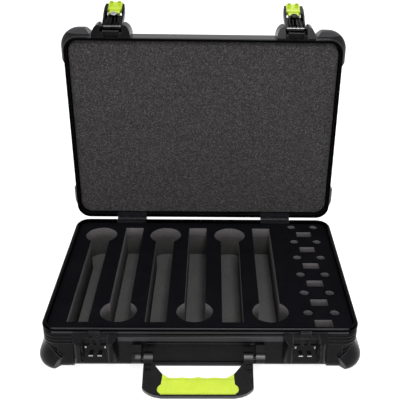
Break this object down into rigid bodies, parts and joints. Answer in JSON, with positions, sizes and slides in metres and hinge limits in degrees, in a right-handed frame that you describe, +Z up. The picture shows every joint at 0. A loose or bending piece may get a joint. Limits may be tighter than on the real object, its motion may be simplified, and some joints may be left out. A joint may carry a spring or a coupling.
{
  "type": "microphone case",
  "caption": "Open hard case with foam cut for hand-held microphones and batteries, draw latches and a folding handle.",
  "frame": {"origin": "centre of the base's flat underside", "axes": "+Z up, +Y to the back where the hinges are, +X to the right seen from the front"},
  "size_m": [0.5008, 0.5188, 0.4628],
  "materials": {
    "shell": "moulded, lightly grained",
    "rim": "black anodised",
    "foam_facing": "matt facing on foam",
    "foam_light": "cut foam",
    "foam_dark": "cut foam",
    "foam_floor": "foam sheet",
    "foam_lid": "open-cell foam, speckled",
    "lime_grip": "soft, satin",
    "lime_trigger": "satin",
    "steel": "bright",
    "strike_metal": "black coat, bare steel at the lips",
    "hinge_metal": "dark coated steel",
    "lock_metal": "bright",
    "hardware": "moulded"
  },
  "bodies": {
    "base": {"base_shell": "shell", "base_rim": "rim", "foam_base_sheet": "foam_floor", "foam_lower": "foam_dark", "foam_upper": "foam_light", "foam_facing": "foam_facing", "keeper_left": "hardware", "keeper_right": "hardware", "strike_left": "strike_metal", "strike_right": "strike_metal", "strike_rivets": "steel", "handle_bracket_left": "hardware", "handle_bracket_right": "hardware", "handle_pin_left": "hardware", "handle_pin_right": "hardware", "hinge_base_leaf_left": "hinge_metal", "hinge_base_leaf_right": "hinge_metal", "hinge_base_rivets": "hinge_metal", "hinge_pin_left": "steel", "hinge_pin_right": "steel"},
    "lid": {"lid_shell": "shell", "lid_rim": "rim", "lid_foam": "foam_lid", "hinge_lid_leaf_left": "hinge_metal", "hinge_lid_leaf_right": "hinge_metal", "hinge_lid_rivets": "hinge_metal", "latch_mount_left": "hardware", "latch_mount_right": "hardware", "latch_pin_left": "steel", "latch_pin_right": "steel"},
    "handle": {"handle_frame": "hardware", "handle_grip": "lime_grip"},
    "lever_left": {"latch_lever_left": "hardware", "trigger_pin_left": "steel"},
    "lever_right": {"latch_lever_right": "hardware", "trigger_pin_right": "steel", "lock_blank": "hardware"},
    "trigger_left": {"latch_trigger_left": "lime_trigger"},
    "trigger_right": {"latch_trigger_right": "lime_trigger"},
    "lock": {"lock_cylinder": "lock_metal"}
  },
  "joints": [
    {"name": "lid_hinge", "type": "hinge", "parent": "base", "child": "lid", "pos_m": [0, 0.1755, 0.071], "axis": [1, 0, 0], "range_deg": [0, 90]},
    {"name": "lever_left_hinge", "type": "hinge", "parent": "lid", "child": "lever_left", "pos_m": [-0.158, 0.2025, 0.432], "axis": [1, 0, 0], "range_deg": [0, 158]},
    {"name": "lever_right_hinge", "type": "hinge", "parent": "lid", "child": "lever_right", "pos_m": [0.158, 0.2025, 0.432], "axis": [1, 0, 0], "range_deg": [0, 158]},
    {"name": "trigger_left_hinge", "type": "hinge", "parent": "lever_left", "child": "trigger_left", "pos_m": [-0.158, 0.25369, 0.44945], "axis": [-1, 0, 0], "range_deg": [0, 10], "stiffness_Nm_per_rad": 0.2},
    {"name": "trigger_right_hinge", "type": "hinge", "parent": "lever_right", "child": "trigger_right", "pos_m": [0.158, 0.25369, 0.44945], "axis": [-1, 0, 0], "range_deg": [0, 10], "stiffness_Nm_per_rad": 0.2},
    {"name": "lock_turn", "type": "hinge", "parent": "lever_left", "child": "lock", "pos_m": [-0.158, 0.23365, 0.44459], "axis": [0, 0.3746, -0.9272], "range_deg": [0, 90]},
    {"name": "handle_hinge", "type": "hinge", "parent": "base", "child": "handle", "pos_m": [-0.003, -0.185, 0.031], "axis": [-1, 0, 0], "range_deg": [0, 105]}
  ]
}
